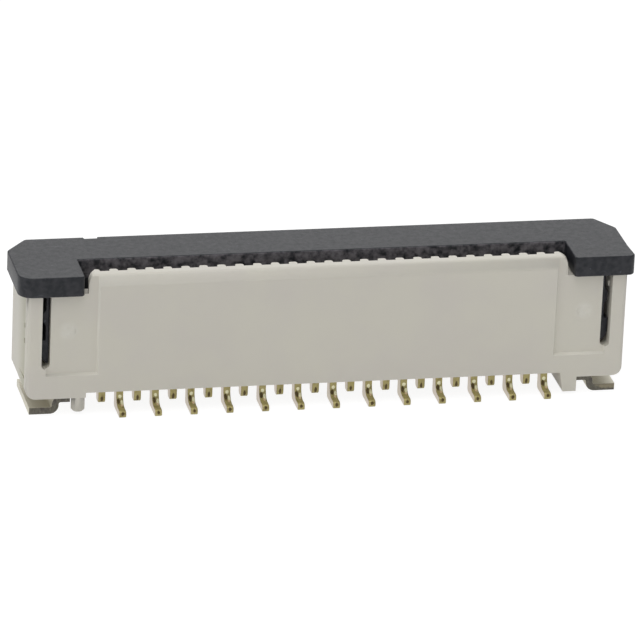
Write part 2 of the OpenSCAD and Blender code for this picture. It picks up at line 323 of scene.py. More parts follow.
@dataclass
class Graph:
    """Short ways to add and link nodes in one tree."""

    tree: Tree

    def add(self, kind: str, **settings: object) -> Node:
        """Adds a node.

        Args:
            kind: the node's type.
            settings: attributes of the node, and values of its inputs by name with spaces as _.

        Returns:
            The node.
        """
        node = self.tree.nodes.new(kind)
        for key, value in settings.items():
            if hasattr(node, key):
                setattr(node, key, value)
            else:
                node.inputs[key.replace("_", " ")].default_value = value
        return node

    def link(self, source: Socket, target: Socket) -> None:
        """Links two sockets."""
        self.tree.links.new(source, target)

    def math(self, operation: str, *terms: object, clamp: bool = False) -> Socket:
        """Adds a Math node.

        Args:
            operation: the node's operation.
            terms: numbers or sockets, in order.
            clamp: keeps the result between 0 and 1.

        Returns:
            The result's socket.
        """
        node = self.tree.nodes.new("ShaderNodeMath")
        node.operation, node.use_clamp = operation, clamp
        for socket, term in zip(node.inputs, terms):
            if isinstance(term, (int, float)):
                socket.default_value = term
            else:
                self.link(term, socket)
        return node.outputs[0]

    def ramp(self, value: Socket, low: float, high: float) -> Socket:
        """Smooth step from 0 at low to 1 at high.

        Args:
            value: the socket to read.
            low: where the step starts.
            high: where it ends.

        Returns:
            The step's socket.
        """
        node = self.tree.nodes.new("ShaderNodeMapRange")
        node.interpolation_type = "SMOOTHSTEP"
        node.inputs["From Min"].default_value = low
        node.inputs["From Max"].default_value = high
        self.link(value, node.inputs["Value"])
        return node.outputs["Result"]

    def blend(self, share: object, first: object, second: object) -> Socket:
        """Mixes two colours.

        Args:
            share: number or socket, how much of the second colour shows.
            first: colour or socket.
            second: colour or socket.

        Returns:
            The mixed colour's socket.
        """
        node = self.tree.nodes.new("ShaderNodeMix")
        node.data_type = "RGBA"
        for key, term in ((0, share), (6, first), (7, second)):
            socket = node.inputs[key]
            if isinstance(term, Socket):
                self.link(term, socket)
            elif isinstance(term, tuple):
                socket.default_value = (*term, 1.0)
            else:
                socket.default_value = term
        return node.outputs[2]

    def product(self, *terms: object) -> Socket:
        """Multiplies numbers or sockets, from left to right."""
        result = terms[0]
        for term in terms[1:]:
            result = self.math("MULTIPLY", result, term)
        return result

    def vector(self, operation: str, *terms: object) -> Socket:
        """Adds a Vector Math node.

        Args:
            operation: the node's operation.
            terms: triples or sockets, in order.

        Returns:
            The result's socket.
        """
        node = self.add("ShaderNodeVectorMath", operation=operation)
        for socket, term in zip(node.inputs, terms):
            if isinstance(term, tuple):
                socket.default_value = term
            else:
                self.link(term, socket)
        return node.outputs["Value" if operation in ("DOT_PRODUCT", "LENGTH") else 0]

    def axes(self, place: Socket) -> list[Socket]:
        """Splits coordinates into X, Y and Z."""
        parts = self.add("ShaderNodeSeparateXYZ")
        self.link(place, parts.inputs[0])
        return list(parts.outputs)

    def noise(
        self, vector: Socket, per_mm: float, detail: float = 2.0
    ) -> Socket:
        """Adds a noise pattern.

        Args:
            vector: coordinates to read, in metres.
            per_mm: features in a millimetre.
            detail: the noise's octaves.

        Returns:
            The pattern's value.
        """
        node = self.tree.nodes.new("ShaderNodeTexNoise")
        node.inputs["Scale"].default_value = per_mm / MM
        node.inputs["Detail"].default_value = detail
        self.link(vector, node.inputs["Vector"])
        return node.outputs["Fac"]


def new_group(
    name: str, inputs: dict[str, object], outputs: Sequence[str]
) -> tuple[Graph, bpy.types.NodeOutputs, bpy.types.NodeInputs]:
    """Starts a shader node group.

    Args:
        name: the group's name.
        inputs: default value of each input; None makes a vector input.
        outputs: names of the value outputs.

    Returns:
        The group's graph, the sockets that it is given and the sockets that it fills.
    """
    group = bpy.data.node_groups.new(name, "ShaderNodeTree")
    for label, default in inputs.items():
        kind = "NodeSocketVector" if default is None else "NodeSocketFloat"
        socket = group.interface.new_socket(name=label, in_out="INPUT", socket_type=kind)
        if default is not None:
            socket.default_value = default
    for label in outputs:
        group.interface.new_socket(name=label, in_out="OUTPUT", socket_type="NodeSocketFloat")
    given = group.nodes.new("NodeGroupInput").outputs
    made = group.nodes.new("NodeGroupOutput").inputs
    return Graph(group), given, made


class SurfaceGroups:
    """The shader node groups that the finishes share."""

    def __init__(self) -> None:
        """Builds each group once."""
        self.skin = self._moulded_skin()
        # edge mask: partly rubbed wear, partly a painted highlight along the edges
        self.edge = self._rubbed_and_highlighted_edge()
        self.shear = self._sheared_edge()
        self.scuff = self._scuffs()

    def _moulded_skin(self) -> Tree:
        """Cloudy tone, fine grain and small specks of a moulded plastic."""
        graph, given, made = new_group(
            "Moulded skin", {"Vector": None, "Speck Share": 0.3}, ("Cloud", "Grain", "Speck")
        )
        cloud, grain, fleck = (
            graph.noise(given["Vector"], per_mm, octaves)
            for per_mm, octaves in ((0.55, 3), (22, 4), (7.5, 1))
        )
        threshold = graph.math("SUBTRACT", 0.86, graph.product(given["Speck Share"], 0.2))
        speck = graph.math("MULTIPLY", graph.math("SUBTRACT", fleck, threshold), 14.0, clamp=True)
        graph.link(graph.ramp(cloud, 0.3, 0.7), made["Cloud"])
        graph.link(grain, made["Grain"])
        graph.link(speck, made["Speck"])
        return graph.tree

    def _rubbed_and_highlighted_edge(self) -> Tree:
        """Mask of the edges, from how far a rounded normal leans away from the true one; the paler
        colour laid on it is partly rubbed wear and partly a painted highlight along the edges.
        """
        graph, given, made = new_group("Rubbed and highlighted edge", {"Vector": None, "Breakup": 0.5}, ("Edge",))
        round_normal = graph.add("ShaderNodeBevel", samples=6, Radius=0.05 * MM).outputs["Normal"]
        true_normal = graph.add("ShaderNodeNewGeometry").outputs["True Normal"]
        lean = graph.math("SUBTRACT", 1.0, graph.vector("DOT_PRODUCT", round_normal, true_normal))
        patch = graph.ramp(graph.noise(given["Vector"], 3.0, 3), 0.25, 0.75)
        keep = graph.product(patch, given["Breakup"])
        whole = graph.math("ADD", keep, graph.math("SUBTRACT", 1.0, given["Breakup"]))
        rim = graph.ramp(lean, 0.01, 0.22)
        graph.link(graph.math("MULTIPLY", rim, whole, clamp=True), made["Edge"])
        return graph.tree

    def _sheared_edge(self) -> Tree:
        """Mask and streaks of the edges that blanking leaves on a sheet."""
        graph, given, made = new_group(
            "Sheared edge", {"Vector": None, "Cut Side": None}, ("Cut", "Streak", "Tarnish")
        )
        normal = graph.add("ShaderNodeNewGeometry").outputs["Normal"]
        facing = graph.vector("LENGTH", graph.vector("MULTIPLY", normal, given["Cut Side"]))
        stretched = graph.vector("MULTIPLY", given["Vector"], (1.0, 0.35, 0.35))
        blotch = graph.noise(given["Vector"], 6.0, 2)
        graph.link(graph.ramp(facing, 0.6, 0.92), made["Cut"])
        graph.link(graph.noise(stretched, 26, 3), made["Streak"])
        graph.link(graph.ramp(blotch, 0.5, 0.7), made["Tarnish"])
        return graph.tree

    def _scuffs(self) -> Tree:
        """Mask of faint rubs and short scratches that run roughly along the row."""
        graph, given, made = new_group("Scuffs", {"Vector": None, "Amount": 0.5}, ("Scuff",))
        tilt = graph.add(
            "ShaderNodeMapping", Rotation=(0.0, 0.0, math.radians(14)), Scale=(0.16, 1.0, 1.0)
        )
        graph.link(given["Vector"], tilt.inputs["Vector"])
        lines = graph.ramp(graph.noise(tilt.outputs[0], 9, 2), 0.62, 0.74)
        patch = graph.ramp(graph.noise(given["Vector"], 0.9, 3), 0.45, 0.7)
        graph.link(graph.product(lines, patch, given["Amount"]), made["Scuff"])
        return graph.tree


# ---------------------------------------------------------------------------------------------
# Finishes
# ---------------------------------------------------------------------------------------------


def start_material(
    name: str,
) -> tuple[bpy.types.Material, Graph, Node, Socket]:
    """Starts a material around one Principled shader.

    Args:
        name: the material's name.

    Returns:
        The material, its graph, the shader and the object coordinates.
    """
    material = bpy.data.materials.new(name)
    material.use_nodes = True
    graph = Graph(material.node_tree)
    shader = material.node_tree.nodes["Principled BSDF"]
    place = graph.add("ShaderNodeTexCoord").outputs["Object"]
    return material, graph, shader, place


def use_group(
    graph: Graph, group: Tree, place: Socket, **values: object
) -> Node:
    """Places a shared group in a material.

    Args:
        graph: the material's graph.
        group: the group to place.
        place: coordinates that it reads.
        values: its other inputs by name, with spaces as _.

    Returns:
        The group's node.
    """
    node = graph.tree.nodes.new("ShaderNodeGroup")
    node.node_tree = group
    graph.link(place, node.inputs["Vector"])
    for key, value in values.items():
        node.inputs[key.replace("_", " ")].default_value = value
    return node


def add_bump(
    graph: Graph, shader: Node, height: Socket, depth_mm: float
) -> None:
    """Feeds a height to a shader's normal.

    Args:
        graph: the material's graph.
        shader: the shader.
        height: the height, from 0 to 1.
        depth_mm: height of 1 in millimetres.
    """
    bump = graph.add("ShaderNodeBump", Strength=1.0, Distance=depth_mm * MM)
    graph.link(height, bump.inputs["Height"])
    graph.link(bump.outputs["Normal"], shader.inputs["Normal"])


@dataclass(frozen=True)
class MouldedFinish:
    """A moulded plastic: cloudy tone, fine grain, specks, paler or darker edges that are partly
    rubbed wear and partly a painted highlight, scuffs, and, where set, painted shade in the hollows
    of the end faces.
    """

    name: str
    tone: Colour
    cloud_tone: Colour
    speck_tone: Colour
    rub_and_highlight_tone: Colour
    roughness: float
    roughness_spread: float
    speck_share: float
    rub_and_highlight_share: float
    scuff_share: float
    grain_depth: float
    specular: float = 0.5
    wear_tone: Optional[Colour] = None
    scar: Optional[Corner] = None
    hollow_shade_tone: Optional[Colour] = None
    scar_reach: tuple[float, float] = (0.34, 0.12)
    scar_depth: tuple[float, float] = (0.1, 0.02)
    scar_share: float = 0.8
    scar_height: float = 14.0
    end_face: tuple[float, float] = (8.33, 8.37)
    end_run: tuple[float, float] = (0.3, -0.95)
    end_limit: float = -1.0
    hollow_shade_share: float = 0.75

    def _painted_hollow_shade(
        self, graph: Graph, place: Socket, colour: Socket
    ) -> Socket:
        """Paints shade into the hollows of the end faces, darker towards their front.

        Args:
            graph: the material's graph.
            place: the object's coordinates.
            colour: the colour below.

        Returns:
            The colour with the painted shade.
        """
        x, y, _ = graph.axes(place)
        face = graph.ramp(graph.math("ABSOLUTE", x), *(mm * MM for mm in self.end_face))
        along = graph.ramp(y, *(mm * MM for mm in self.end_run))
        behind = graph.math("GREATER_THAN", y, self.end_limit * MM)
        return graph.blend(
            graph.product(face, along, behind, self.hollow_shade_share), colour, self.hollow_shade_tone
        )

    def _worn(
        self, graph: Graph, place: Socket, colour: Socket
    ) -> Socket:
        """Mottles the faces that the piece notes as worn.

        Args:
            graph: the material's graph.
            place: the object's coordinates.
            colour: the colour below.

        Returns:
            The mottled colour.
        """
        share = graph.add("ShaderNodeAttribute", attribute_name="worn").outputs["Fac"]
        mottle = graph.ramp(graph.noise(place, 6.0, 4), 0.26, 0.72)
        return graph.blend(graph.product(mottle, share), colour, self.wear_tone)

    def _scar_mask(self, graph: Graph, place: Socket) -> Socket:
        """Soft round patch about the mark at each end of the front.

        Args:
            graph: the material's graph.
            place: the object's coordinates.

        Returns:
            The mask.
        """
        mark_x, mark_y, mark_z = self.scar
        x, y, z = graph.axes(place)
        across = graph.math("SUBTRACT", graph.math("ABSOLUTE", x), mark_x * MM)
        up = graph.math("SUBTRACT", z, mark_z * MM)
        square = graph.math("ADD", graph.product(across, across), graph.product(up, up))
        near = graph.ramp(graph.math("SQRT", square), *(mm * MM for mm in self.scar_reach))
        front = graph.ramp(y, *((mark_y + mm) * MM for mm in self.scar_depth))
        return graph.product(near, front)

    def build(self, groups: SurfaceGroups) -> bpy.types.Material:
        """Builds the material.

        Args:
            groups: the shared node groups.

        Returns:
            The material.
        """
        material, graph, shader, place = start_material(self.name)
        skin = use_group(graph, groups.skin, place, Speck_Share=self.speck_share)
        edge = use_group(graph, groups.edge, place, Breakup=0.6)
        scuff = use_group(graph, groups.scuff, place, Amount=self.scuff_share)
        colour = graph.blend(skin.outputs["Cloud"], self.tone, self.cloud_tone)
        colour = graph.blend(skin.outputs["Speck"], colour, self.speck_tone)
        # paler edges, partly rubbed wear and partly a painted highlight along the edges
        rim = graph.product(edge.outputs["Edge"], self.rub_and_highlight_share)
        colour = graph.blend(rim, colour, self.rub_and_highlight_tone)
        colour = graph.blend(scuff.outputs["Scuff"], colour, self.rub_and_highlight_tone)
        height = skin.outputs["Grain"]
        if self.wear_tone:
            colour = self._worn(graph, place, colour)
        # painted shade in the hollows of the end faces, darker towards their front
        if self.hollow_shade_tone:
            colour = self._painted_hollow_shade(graph, place, colour)
        if self.scar:
            mask = self._scar_mask(graph, place)
            uneven = graph.product(mask, graph.noise(place, 7.0, 2))
            colour = graph.blend(graph.product(uneven, self.scar_share), colour, self.rub_and_highlight_tone)
            height = graph.math("ADD", height, graph.product(uneven, self.scar_height))
        graph.link(colour, shader.inputs["Base Color"])
        spread = graph.product(skin.outputs["Grain"], self.roughness_spread)
        rough = graph.math("ADD", spread, self.roughness - self.roughness_spread / 2)
        graph.link(rough, shader.inputs["Roughness"])
        shader.inputs["IOR"].default_value = 1.5
        shader.inputs["Specular IOR Level"].default_value = self.specular
        add_bump(graph, shader, height, self.grain_depth)
        return material


@dataclass(frozen=True)
class PaintedReflection:
    """A painted highlight or painted dark reflection on the cut edges, at the same place on every
    copy; sizes in millimetres.
    """

    across: float
    height: float
    half_width: float
    half_height: float
    depths: tuple[float, float]
    tone: Colour

    def paint(
        self, graph: Graph, spot: tuple[Socket, ...], ragged: Socket,
        colour: Socket,
    ) -> Socket:
        """Lays the painted highlight or painted dark reflection over a colour.

        Args:
            graph: the material's graph.
            spot: the place across the sheet, along Y and along Z.
            ragged: noise that breaks up the stain's rim.
            colour: the colour below.

        Returns:
            The colour with the painted spot.
        """
        across, depth, height = spot
        square = ragged
        for place, middle, size in (
            (across, self.across, self.half_width), (height, self.height, self.half_height)
        ):
            off = graph.math("DIVIDE", graph.math("SUBTRACT", place, middle), size)
            square = graph.math("MULTIPLY_ADD", off, off, square)
        mask = graph.ramp(square, 1.3, 0.4)
        near, far = self.depths
        behind = graph.math("GREATER_THAN", depth, near)
        inside = graph.product(behind, graph.math("LESS_THAN", depth, far))
        return graph.blend(graph.product(mask, inside), colour, self.tone)


@dataclass(frozen=True)
class SheetFinish:
    """A plated sheet: even plating on its faces, darker streaked metal on its cut edges, with
    painted highlights and painted dark reflections on the cut edges.
    """

    name: str
    plating: Colour
    cloud_plating: Colour
    cut_metal: Colour
    tarnish: Colour
    metallic: float
    cut_metallic: float
    roughness: float
    cut_roughness: float
    cut_side: Colour
    streak_depth: float
    pitch: float
    painted_reflections: tuple[PaintedReflection, ...]
    roughness_spread: float = 0.12
    streak_share: float = 0.3
    tarnish_share: float = 0.6

    def _with_painted_reflections(
        self, graph: Graph, place: Socket, colour: Socket
    ) -> Socket:
        """Lays every painted highlight and painted dark reflection over the cut colour.

        Args:
            graph: the material's graph.
            place: the object's coordinates.
            colour: the cut colour.

        Returns:
            The cut colour with the painted highlights and dark reflections.
        """
        across, depth, height = (graph.math("DIVIDE", axis, MM) for axis in graph.axes(place))
        if self.pitch:
            turns = graph.math("FRACT", graph.math("DIVIDE", across, self.pitch))
            across = graph.product(graph.math("SUBTRACT", turns, 0.5), self.pitch)
        ragged = graph.product(graph.math("SUBTRACT", graph.noise(place, 11.0, 2), 0.5), 1.6)
        for reflection in self.painted_reflections:
            colour = reflection.paint(graph, (across, depth, height), ragged, colour)
        return colour

    def build(self, groups: SurfaceGroups) -> bpy.types.Material:
        """Builds the material.

        Args:
            groups: the shared node groups.

        Returns:
            The material.
        """
        material, graph, shader, place = start_material(self.name)
        skin = use_group(graph, groups.skin, place)
        shear = use_group(graph, groups.shear, place, Cut_Side=self.cut_side)
        colour = graph.blend(skin.outputs["Cloud"], self.plating, self.cloud_plating)
        share = shear.outputs["Cut"]
        streaks = graph.product(shear.outputs["Streak"], self.streak_share)
        tarnished = graph.product(shear.outputs["Tarnish"], self.tarnish_share)
        cut = graph.blend(streaks, self.cut_metal, colour)
        cut = self._with_painted_reflections(graph, place, graph.blend(tarnished, cut, self.tarnish))
        graph.link(graph.blend(share, colour, cut), shader.inputs["Base Color"])
        metallic = graph.math(
            "MULTIPLY_ADD", share, self.cut_metallic - self.metallic, self.metallic
        )
        graph.link(metallic, shader.inputs["Metallic"])
        step = graph.product(share, self.cut_roughness - self.roughness)
        grain = graph.product(skin.outputs["Grain"], self.roughness_spread)
        rough = graph.math(
            "ADD", graph.math("ADD", step, grain), self.roughness - self.roughness_spread / 2
        )
        graph.link(rough, shader.inputs["Roughness"])
        add_bump(graph, shader, graph.product(shear.outputs["Streak"], share), self.streak_depth)
        return material


IVORY = MouldedFinish(
    name="ivory_moulding",
    tone=(0.70, 0.675, 0.59), cloud_tone=(0.68, 0.65, 0.585), speck_tone=(0.58, 0.545, 0.47),
    rub_and_highlight_tone=(0.80, 0.785, 0.72), roughness=0.5, roughness_spread=0.14,
    speck_share=0.12, rub_and_highlight_share=0.5, scuff_share=0.05, grain_depth=0.0012, scar=MARK,
    # tone of the painted shade in the end faces' hollows
    hollow_shade_tone=(0.44, 0.43, 0.3),
)
BLACK = MouldedFinish(
    name="black_moulding",
    tone=(0.0035, 0.0055, 0.0095), cloud_tone=(0.0065, 0.009, 0.013),
    speck_tone=(0.05, 0.056, 0.07), rub_and_highlight_tone=(0.09, 0.096, 0.11), roughness=0.46,
    roughness_spread=0.2,
    speck_share=0.55, rub_and_highlight_share=0.75, scuff_share=0.3, grain_depth=0.003, specular=0.34,
    wear_tone=(0.17, 0.16, 0.175),
)
# colours of the painted highlights and painted dark reflections on the contacts
HIGHLIGHT_CREAM: Colour = (1.0, 0.97, 0.66)
DARK_REFLECTION_UMBER: Colour = (0.09, 0.06, 0.015)
GOLD = SheetFinish(
    name="gold_plating",
    plating=(0.56, 0.48, 0.4), cloud_plating=(0.5, 0.43, 0.33), cut_metal=(0.44, 0.38, 0.13),
    tarnish=(0.24, 0.19, 0.06), metallic=1.0, cut_metallic=0.35, roughness=0.3, cut_roughness=0.42,
    cut_side=(0.0, 1.0, 1.0), streak_depth=0.012, pitch=1.0,
    painted_reflections=(
        # painted highlights and painted dark reflections where the leg, its bend and the tip catch
        # or lose the light, the same on every fork
        PaintedReflection(-0.25, 0.42, 0.05, 0.055, (-2.0, -0.9), HIGHLIGHT_CREAM),
        PaintedReflection(-0.29, 0.3, 0.05, 0.075, (-2.0, -0.9), DARK_REFLECTION_UMBER),
        PaintedReflection(-0.2, 0.265, 0.04, 0.065, (-2.0, -0.9), HIGHLIGHT_CREAM),
        PaintedReflection(-0.22, 0.215, 0.03, 0.02, (-1.22, -0.9), (0.85, 0.64, 0.4)),
        PaintedReflection(-0.25, 0.12, 0.045, 0.055, (-2.0, -1.5), DARK_REFLECTION_UMBER),
        PaintedReflection(0.25, 0.36, 0.04, 0.09, (-2.0, -0.9), DARK_REFLECTION_UMBER),
        PaintedReflection(-0.25, 0.36, 0.04, 0.09, (0.9, 1.2), DARK_REFLECTION_UMBER),
    ),
)
TIN = SheetFinish(
    name="tin_plating",
    plating=(0.78, 0.75, 0.64), cloud_plating=(0.68, 0.65, 0.54), cut_metal=(0.055, 0.048, 0.034),
    tarnish=(0.07, 0.058, 0.06), metallic=0.5, cut_metallic=0.3, roughness=0.5, cut_roughness=0.55,
    cut_side=(0.0, 1.0, 0.0), streak_depth=0.01, pitch=0.0,
    painted_reflections=(
        # a painted highlight along the left tab's cut edge and painted light on the right tab's cut
        # edge
        PaintedReflection(-8.47, 0.1, 0.02, 0.3, (-2.0, 2.0), (0.75, 0.72, 0.6)),
        PaintedReflection(8.3, 0.14, 0.55, 0.09, (-2.0, 2.0), (0.3, 0.265, 0.18)),
    ),
)


@dataclass(frozen=True)
class Palette:
    """The finished materials."""

    ivory: bpy.types.Material
    black: bpy.types.Material
    gold: bpy.types.Material
    tin: bpy.types.Material

    @classmethod
    def build(cls) -> "Palette":
        """Builds the shared groups and every material."""
        groups = SurfaceGroups()
        return cls(*(finish.build(groups) for finish in (IVORY, BLACK, GOLD, TIN)))


def dress(
    piece: bpy.types.Object, material: bpy.types.Material, body: Body, slot: str, *nodes: str
) -> None:
    """Gives a piece its material and its body, and hides the nodes that it stands for.

    Args:
        piece: the piece.
        material: its material.
        body: the body that it rides on.
        slot: not used.
        nodes: the frame's nodes that it stands for.
    """
    piece.data.materials.clear()
    piece.data.materials.append(material)
    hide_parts(*nodes)
    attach(piece, body.value)
    LOG.info("%s: %d faces, rides on %s", piece.name, len(piece.data.polygons), body.value)


# ---------------------------------------------------------------------------------------------
# Sub-assemblies
# ---------------------------------------------------------------------------------------------


@dataclass
class Housing:
    """The ivory moulding: the frame's shape, with soft edges and the marks of its mould."""

    edge: float = 0.03
    comb_half: float = 6.62
    wall_front: float = -1.07
    wall_back: float = -0.7
    ledge_z: float = 3.55
    end_relief: float = 0.04
    round_low: float = 0.18
    round_high: float = 0.34
    end_run: float = 0.2
    mark_radius: float = 0.2
    mark_ease: float = 0.6
    hollow_depth: float = 0.03
    hollow_depths: tuple[float, float] = (-1.02, 0.1)
    hollow_rise: float = 0.05
    hollow_z: float = 1.05
    pocket_levels: tuple[float, ...] = (2.56, 2.12)
    pocket_half: float = 0.07
    pocket_depth: float = 0.33
    pocket_lip: float = 0.14
    pocket_reaches: tuple[float, float] = (0.2, 0.7)

    def _outer_edge(self, edge: bmesh.types.BMEdge) -> bool:
        """Picks long sharp edges outside the comb of slits and grooves."""
        if edge.calc_face_angle(0.0) < math.radians(50) or edge.calc_length() < 0.12:
            return False
        middle = (edge.verts[0].co + edge.verts[1].co) / 2
        in_comb = abs(middle.x) < self.comb_half and -0.8 < middle.y < 0.8
        return not in_comb

    def _ease_wall(self, solid: Solid) -> None:
        """Draws the front wall's ends in a little and eases the curve along its top edge.

        Args:
            solid: the housing's copy.
        """
        top = max(vert.co.z for vert in solid.mesh.verts)
        end = max(abs(v.co.x) for v in solid.mesh.verts if v.co.z > self.ledge_z + self.edge)
        for vert in solid.mesh.verts:
            place = vert.co
            in_wall = place.z > self.ledge_z - TOLERANCE and place.y < self.wall_back
            if in_wall and end - self.end_run < abs(place.x) < end + TOLERANCE:
                place.x -= math.copysign(self.end_relief, place.x)
            drop = top - place.z
            if place.y < self.wall_front and TOLERANCE < drop < self.round_low + TOLERANCE:
                place.z = top - drop * self.round_high / self.round_low

    def _soften_marks(self, solid: Solid) -> None:
        """Turns the two round marks into shallow dimples.

        Args:
            solid: the housing's copy.
        """
        x, y, z = MARK
        for vert in solid.mesh.verts:
            spoke = Vector((abs(vert.co.x) - x, vert.co.z - z))
            on_front = y - TOLERANCE < vert.co.y < y + TOLERANCE
            if on_front and spoke.length < self.mark_radius + 0.01:
                vert.co.x -= math.copysign(spoke.x * self.mark_ease, vert.co.x)
                vert.co.z -= spoke.y * self.mark_ease

    def _hollow_ends(self, solid: Solid, half: float) -> Solid:
        """Cuts the long hollow and the two pockets into each end face.

        Args:
            solid: the housing's copy.
            half: half of the housing's length.

        Returns:
            The cut solid.
        """
        near, far = self.hollow_depths
        start, size = near + 0.07, self.pocket_half
        for side in (-1, 1):
            face, above = side * half, side * (half + 0.3)
            bottom = side * (half - self.hollow_depth)
            hollow = [
                (above, far), (face, far), (bottom, near + self.hollow_rise), (face, near),
                (above, near),
            ]
            tool = Solid.from_outline(hollow, self.hollow_z, self.ledge_z + 0.3, Axis.UPWARDS)
            solid = solid.combined(tool, "DIFFERENCE")
            floor = side * (half - self.pocket_depth)
            mouth, lip = side * (half + SPARE), side * (half - self.pocket_lip)
            for level in self.pocket_levels:
                for end, reach in zip((mouth, lip), self.pocket_reaches):
                    pocket = [
                        (start, level - size), (start + reach, level - size),
                        (start + reach, level + size), (start, level + size),
                    ]
                    tool = Solid.from_outline(pocket, *sorted((floor, end)), Axis.ALONG_ROW)
                    solid = solid.combined(tool, "DIFFERENCE")
        return solid

    def build(self, palette: Palette) -> None:
        """Makes and dresses the housing."""
        _, high = node_box("housing")
        solid = Solid.from_node("housing")
        self._ease_wall(solid)
        self._soften_marks(solid)
        solid.soften(self.edge, 2, self._outer_edge)
        solid = self._hollow_ends(solid, high.x)
        near, far = self.hollow_depths

        def in_hollow(place: Vector) -> bool:
            """Tells whether a place lies on the hollow of an end face."""
            on_end = abs(place.x) > high.x - self.hollow_depth - 0.01
            return on_end and near - 0.01 < place.y < far + 0.01 and place.z > self.hollow_z - 0.01

        piece = solid.piece("housing_moulding", hard=in_hollow)
        dress(piece, palette.ivory, Body.HOUSING, "housing_plastic", "housing")


@dataclass
class LockBar:
    """The black slide-lock bar: a plate with two ears, the cable tongue and two latch legs."""

    plate_low: float = 3.57
    ear_in: float = 6.87
    tongue_front: float = -0.09
    tongue_back: float = 0.37
    tongue_half: float = 6.72
    tongue_low: float = 1.77
    tongue_bend: float = 2.57
    ear_round: float = 0.1
    root_round: float = 0.04
    rear_round: float = 0.14
    right_step: float = 0.08
    right_draw: float = 0.13
    cut_x: float = 0.6
    cut_y: float = 0.76
    notch: tuple[float, float, float] = (-6.48, -6.02, 0.13)
    notch_slope: float = 0.05
    leg_in: float = 7.77
    leg_out: float = 7.86
    hook_out: float = 7.98
    hook_top: float = 2.17
    bump_out: float = 7.94
    bump_levels: tuple[float, float, float, float] = (2.6, 2.72, 2.96, 3.07)
    leg_low: float = 1.5
    leg_half: float = 1.0
    upper_round: float = 0.13
    lower_round: float = 0.06
    wear: tuple[float, float, float] = (1.0, 0.15, 0.12)

    def _plate(self, low: Vector, high: Vector) -> Solid:
        """The plate with its ears, rounded along its upper and lower edges.

        Args:
            low: lowest corner of the bar's box.
            high: highest corner of the bar's box.

        Returns:
            The plate, without the tongue and the legs.
        """
        front, back, half = low.y, high.y, high.x
        drawn = half - self.right_draw
        corners: list[Corner] = [
            (self.ear_in, self.tongue_front, self.root_round), (self.ear_in, front, self.ear_round),
            (half - self.right_step, front, 0.18), (drawn, front + 0.8, 0.8),
            (drawn, back - self.cut_y, 0.16), (half - self.cut_x, back, self.rear_round),
            (-half + self.cut_x, back, self.rear_round), (-half, back - self.cut_y, 0.2),
            (-half, front, 0.42), (-self.ear_in, front, self.ear_round),
            (-self.ear_in, self.tongue_front, self.root_round),
        ]
        plate = Solid.from_outline(rounded_outline(corners), self.plate_low, high.z, Axis.UPWARDS)
        on_rim = rim_edges(Axis.UPWARDS)
        middle = (self.plate_low + high.z) / 2
        plate.soften(self.upper_round, 4, lambda e: on_rim(e) and e.verts[0].co.z > middle)
        plate.soften(self.lower_round, 2, lambda e: on_rim(e) and e.verts[0].co.z < middle)
        near, far, depth = self.notch
        clear, floor, slope = back + SPARE, back - depth, self.notch_slope
        cut = [(near, clear), (near + slope, floor), (far - slope, floor), (far, clear)]
        tool = Solid.from_outline(cut, self.plate_low - SPARE, high.z + SPARE, Axis.UPWARDS)
        return plate.combined(tool, "DIFFERENCE")

    def _tongue(self) -> Solid:
        """The tongue that presses the cable."""
        front, back, low = self.tongue_front, self.tongue_back, self.tongue_low
        tip, root = (front + back) / 2, self.plate_low + SPARE
        outline: list[Corner] = [
            (front, root, 0.0), (front, self.tongue_bend, 0.3), (tip - 0.05, low + 0.2, 0.2),
            (tip, low, 0.04), (back - 0.05, low, 0.04), (back, low + 0.1, 0.05), (back, root, 0.0),
        ]
        points = rounded_outline(outline)
        solid = Solid.from_outline(points, -self.tongue_half, self.tongue_half, Axis.ALONG_ROW)
        return solid.soften(0.03, 2, rim_edges(Axis.ALONG_ROW))

    def _leg(self, side: int) -> Solid:
        """A latch leg, with its snap bump above and its stop hook below.

        Args:
            side: 1 for the right leg, -1 for the left one.

        Returns:
            The leg.
        """
        inner, outer, hook, low = self.leg_in, self.leg_out, self.hook_out, self.leg_low
        root, bump = self.plate_low + SPARE, self.bump_levels
        outline: list[Corner] = [
            (inner, root, 0.0), (inner, low, 0.0), (inner + 0.05, low, 0.0),
            (hook - 0.02, low + 0.15, 0.05), (hook, low + 0.3, 0.1), (hook, self.hook_top, 0.03),
            (outer, self.hook_top, 0.02), (outer, bump[0], 0.05), (self.bump_out, bump[1], 0.05),
            (self.bump_out, bump[2], 0.05), (outer, bump[3], 0.05), (outer, root, 0.0),
        ]
        points = [(side * u, v) for u, v in rounded_outline(outline)]
        solid = Solid.from_outline(points, -self.leg_half, self.leg_half, Axis.FRONT_TO_REAR)
        return solid.soften(0.02, 2, rim_edges(Axis.FRONT_TO_REAR))

    def _mark_wear(self, piece: bpy.types.Object) -> None:
        """Notes how worn each face is: most on the plate's front face between the ears.

        Args:
            piece: the finished bar.
        """
        most, some, least = self.wear
        worn = piece.data.attributes.new("worn", "FLOAT", "FACE")
        for face in piece.data.polygons:
            centre = face.center / MM
            between = abs(centre.x) < self.ear_in and face.normal.y < -0.7
            share = most if between else some
            worn.data[face.index].value = share if centre.z > self.plate_low - 0.05 else least

    def build(self, palette: Palette) -> None:
        """Makes and dresses the bar."""
        solid = self._plate(*node_box("slider")).combined(self._tongue(), "UNION")
        for side in (-1, 1):
            solid = solid.combined(self._leg(side), "UNION")
        piece = solid.piece("lock_bar", 36)
        self._mark_wear(piece)
        dress(piece, palette.black, Body.SLIDER, "slider_plastic", "slider")


